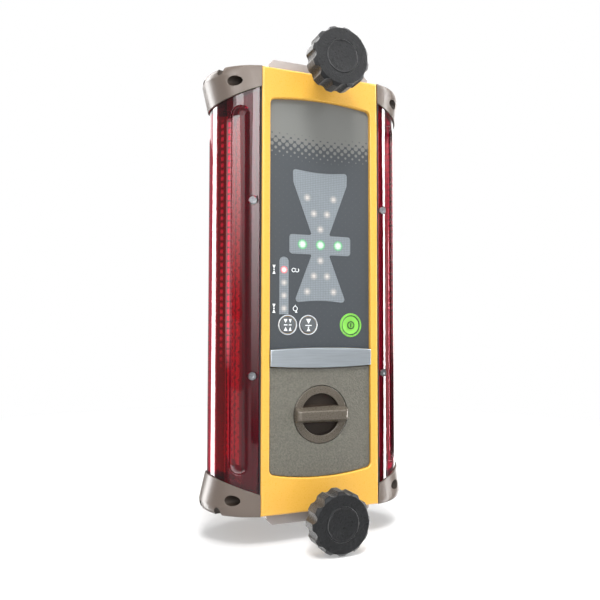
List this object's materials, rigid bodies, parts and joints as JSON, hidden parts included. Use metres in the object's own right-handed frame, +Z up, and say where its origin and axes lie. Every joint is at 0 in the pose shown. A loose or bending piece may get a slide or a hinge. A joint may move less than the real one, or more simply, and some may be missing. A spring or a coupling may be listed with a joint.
{
  "type": "laser receiver",
  "caption": "Tall machine-mounted laser receiver with a yellow body, curved red sensor windows, arrow display, lockable battery cassette and knob-driven hooks that clamp a mast",
  "frame": {"origin": "on the axis of the mast that the clamps hold, at half the height of the body", "axes": "+Z up along the mast, +Y from the display towards the mast, +X to the right when facing the display"},
  "size_m": [0.164, 0.1817, 0.3707],
  "materials": {
    "yellow_shell": "satin",
    "black_seal": "matt",
    "steel_fasteners": "bright",
    "grey_panel": "printed film, satin",
    "light_lens": "finely ribbed diffuser",
    "silver_trim": "satin",
    "key_ring": "polished",
    "key_grey": "satin",
    "key_green": "satin",
    "circuit_board": "solder mask",
    "white_light": "clear dome",
    "green_light": "clear dome",
    "red_light": "clear dome",
    "black_plastic": "matt",
    "red_window": "clear red, polished",
    "flat_cable": "film",
    "taupe_cap": "metallic paint, satin",
    "bracket_metal": "cast and milled",
    "hook_metal": "powder coat",
    "knob_plastic": "fine grain",
    "contact_brass": "plain",
    "door_plastic": "grained",
    "lock_plastic": "satin",
    "cell_jacket": "printed sleeve, bare"
  },
  "bodies": {
    "housing": {"front_cover": "yellow_shell", "rear_cover": "yellow_shell", "cover_seal": "black_seal", "cover_screws": "steel_fasteners", "display_panel": "grey_panel", "arrow_lens": "light_lens", "level_lens": "light_lens", "name_bar": "silver_trim", "key_rings": "key_ring", "main_board": "circuit_board", "board_screws": "steel_fasteners", "arrow_lights": "white_light", "centre_lights": "green_light", "level_lights": "red_light", "key_switches": "black_plastic", "window_left": "red_window", "window_right": "red_window", "window_gaskets": "black_seal", "window_screws": "steel_fasteners", "sensor_frame_left": "black_plastic", "sensor_frame_right": "black_plastic", "sensor_board_left": "circuit_board", "sensor_board_right": "circuit_board", "photodiodes_left": "black_plastic", "photodiodes_right": "black_plastic", "flex_cables": "flat_cable", "end_cap_top_left": "taupe_cap", "end_cap_top_right": "taupe_cap", "end_cap_bottom_left": "taupe_cap", "end_cap_bottom_right": "taupe_cap", "cap_screws": "steel_fasteners", "bracket_top": "bracket_metal", "bracket_bottom": "bracket_metal", "bracket_screws": "steel_fasteners", "saddle_pads": "black_seal", "knob_washers": "steel_fasteners", "battery_bay": "black_plastic", "bay_contacts": "contact_brass"},
    "knob_top": {"clamp_knob_top": "knob_plastic", "knob_disc_top": "knob_plastic"},
    "knob_bottom": {"clamp_knob_bottom": "knob_plastic", "knob_disc_bottom": "knob_plastic"},
    "hook_top": {"clamp_hook_top": "hook_metal", "hook_pad_top": "black_seal", "clamp_stud_top": "steel_fasteners"},
    "hook_bottom": {"clamp_hook_bottom": "hook_metal", "hook_pad_bottom": "black_seal", "clamp_stud_bottom": "steel_fasteners"},
    "cassette": {"battery_door": "door_plastic", "door_seal": "black_seal", "battery_tray": "black_plastic", "battery_cells": "cell_jacket", "contact_springs": "steel_fasteners"},
    "lock": {"lock_knob": "lock_plastic", "lock_tongue": "steel_fasteners", "lock_screw": "steel_fasteners"},
    "scale_button": {"scale_key": "key_grey"},
    "zero_button": {"zero_key": "key_grey"},
    "power_button": {"power_key": "key_green"}
  },
  "joints": [
    {"name": "knob_top_turn", "type": "hinge", "parent": "housing", "child": "knob_top", "pos_m": [0, -0.109, 0.1634], "axis": [0, -1, 0], "range_deg": [0, 1800]},
    {"name": "hook_top_slide", "type": "slide", "parent": "housing", "child": "hook_top", "axis": [0, 1, 0], "range_m": [0, 0.01]},
    {"name": "knob_bottom_turn", "type": "hinge", "parent": "housing", "child": "knob_bottom", "pos_m": [0, -0.109, -0.1634], "axis": [0, -1, 0], "range_deg": [0, 1800]},
    {"name": "hook_bottom_slide", "type": "slide", "parent": "housing", "child": "hook_bottom", "axis": [0, 1, 0], "range_m": [0, 0.01]},
    {"name": "cassette_slide", "type": "slide", "parent": "housing", "child": "cassette", "axis": [0, -1, 0], "range_m": [0, 0.06]},
    {"name": "lock_turn", "type": "hinge", "parent": "cassette", "child": "lock", "pos_m": [0, -0.109, -0.093], "axis": [0, 1, 0], "range_deg": [0, 90]},
    {"name": "scale_press", "type": "slide", "parent": "housing", "child": "scale_button", "axis": [0, 1, 0], "range_m": [0, 0.0008], "stiffness_N_per_m": 1500},
    {"name": "zero_press", "type": "slide", "parent": "housing", "child": "zero_button", "axis": [0, 1, 0], "range_m": [0, 0.0008], "stiffness_N_per_m": 1500},
    {"name": "power_press", "type": "slide", "parent": "housing", "child": "power_button", "axis": [0, 1, 0], "range_m": [0, 0.0008], "stiffness_N_per_m": 1500}
  ],
  "couplings": [
    {"joint": "knob_top_turn", "follows": "hook_top_slide", "rad_per_m": 3141.6},
    {"joint": "knob_bottom_turn", "follows": "hook_bottom_slide", "rad_per_m": 3141.6}
  ]
}
